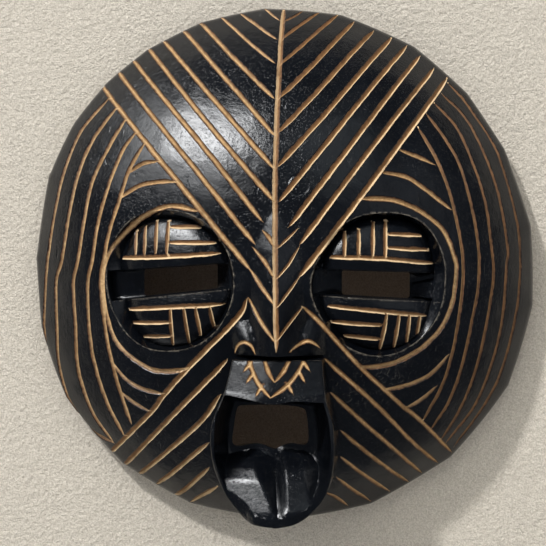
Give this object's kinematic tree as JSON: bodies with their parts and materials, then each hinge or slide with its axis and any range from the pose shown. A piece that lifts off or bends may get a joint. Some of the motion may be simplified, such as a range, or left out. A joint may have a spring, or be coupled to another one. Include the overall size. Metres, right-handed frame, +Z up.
{
  "type": "carved wooden wall mask",
  "caption": "Round domed wall mask of dark stained wood with carved line pattern, slotted eyes, wedge nose and open muzzle, hung by a ring on a strap behind the top.",
  "frame": {"origin": "on the wall plane, level with the middle of the round outline", "axes": "+Z up, +X to the viewer's right, the face looks along -Y, the wall is at y = 0"},
  "size_m": [0.302, 0.102, 0.309],
  "materials": {
    "stained_wood": "black stained and waxed, with light bare wood in the cut lines",
    "strap_steel": "zinc plated sheet",
    "ring_steel": "zinc plated wire",
    "screw_brass": "brassed round head screw",
    "felt": "dark wool felt"
  },
  "bodies": {
    "mask": {"mask_body": "stained_wood", "hanger_strap": "strap_steel", "hanger_screw_upper": "screw_brass", "hanger_screw_lower": "screw_brass", "bumper_left": "felt", "bumper_right": "felt"},
    "ring": {"hanger_ring": "ring_steel"}
  },
  "joints": [
    {"name": "ring_swing", "type": "hinge", "parent": "mask", "child": "ring", "pos_m": [0, -0.00205, 0.135], "axis": [-1, 0, 0], "range_deg": [0, 172]}
  ]
}
